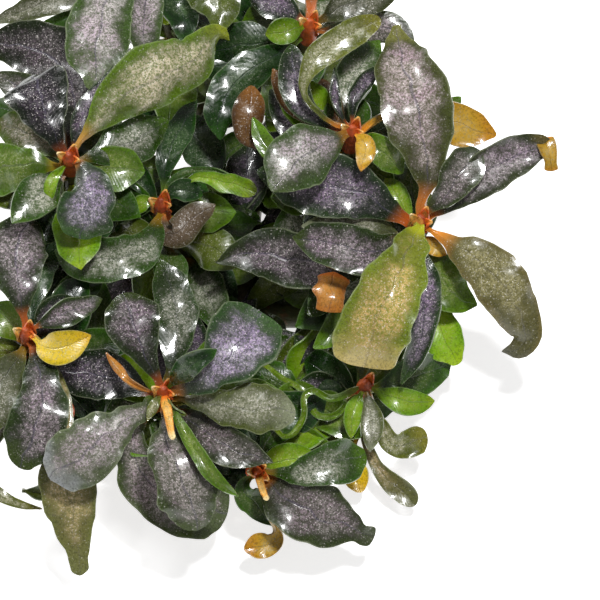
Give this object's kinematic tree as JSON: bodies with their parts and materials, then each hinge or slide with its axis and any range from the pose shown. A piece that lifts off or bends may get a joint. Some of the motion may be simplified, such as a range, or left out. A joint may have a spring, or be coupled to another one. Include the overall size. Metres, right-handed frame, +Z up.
{
  "type": "aquarium plant",
  "caption": "Clump of bucephalandra: a creeping rhizome with rising shoots, each crowned by a whorl of thick glossy leaves in plum, silver, olive and green.",
  "frame": {"origin": "on the ground, in the flat underside of the rhizome, near the middle of the clump", "axes": "+Z up from the ground; in the picture +X is to the right and -Y is towards the viewer, who looks down at the clump"},
  "size_m": [0.1204, 0.1561, 0.0554],
  "materials": {
    "plum": "glossy, wet, fine pale speckles on dark purple-grey",
    "silver": "glossy, wet, silver-grey sheen over green",
    "olive": "glossy, wet, olive green with fine speckles",
    "deep_green": "glossy, wet, dark green",
    "lime": "glossy, wet, young yellow-green",
    "gold": "glossy, old leaf turned golden yellow",
    "copper": "satin, old leaf turned brown",
    "rhizome": "satin, red-brown bark",
    "shoot": "satin, orange-red stem"
  },
  "bodies": {
    "root": {"leaf_left_1": "olive", "leaf_left_2": "plum", "leaf_left_3": "plum", "leaf_left_4": "plum", "leaf_left_5": "olive", "leaf_left_6": "silver", "leaf_left_7": "deep_green", "leaf_back_left_1": "silver", "leaf_back_left_2": "olive", "leaf_back_left_3": "deep_green", "leaf_back_left_4": "plum", "leaf_back_1": "deep_green", "leaf_back_2": "olive", "leaf_back_3": "plum", "leaf_back_4": "plum", "leaf_top_1": "olive", "leaf_top_2": "silver", "leaf_top_3": "gold", "leaf_top_4": "plum", "leaf_top_5": "plum", "leaf_top_6": "copper", "leaf_right_1": "plum", "leaf_right_2": "plum", "leaf_right_3": "plum", "leaf_right_4": "copper", "leaf_right_5": "gold", "leaf_right_6": "plum", "leaf_right_7": "deep_green", "leaf_right_8": "lime", "leaf_right_9": "silver", "leaf_right_10": "silver", "leaf_right_11": "olive", "leaf_inner_1": "deep_green", "leaf_inner_2": "copper", "leaf_inner_3": "olive", "leaf_front_1": "plum", "leaf_front_2": "deep_green", "leaf_front_3": "silver", "leaf_front_4": "olive", "leaf_front_5": "plum", "leaf_front_6": "silver", "leaf_front_7": "plum", "leaf_front_8": "silver", "leaf_front_9": "plum", "leaf_front_left_1": "silver", "leaf_front_left_2": "plum", "leaf_front_left_3": "silver", "leaf_front_left_4": "copper", "leaf_tip_1": "silver", "leaf_tip_2": "plum", "shoot_left": "shoot", "shoot_back_left": "shoot", "shoot_back": "shoot", "shoot_top": "shoot", "shoot_right": "shoot", "shoot_inner": "shoot", "shoot_front": "shoot", "shoot_front_left": "shoot", "shoot_low_right": "shoot", "rhizome": "rhizome"}
  },
  "joints": []
}
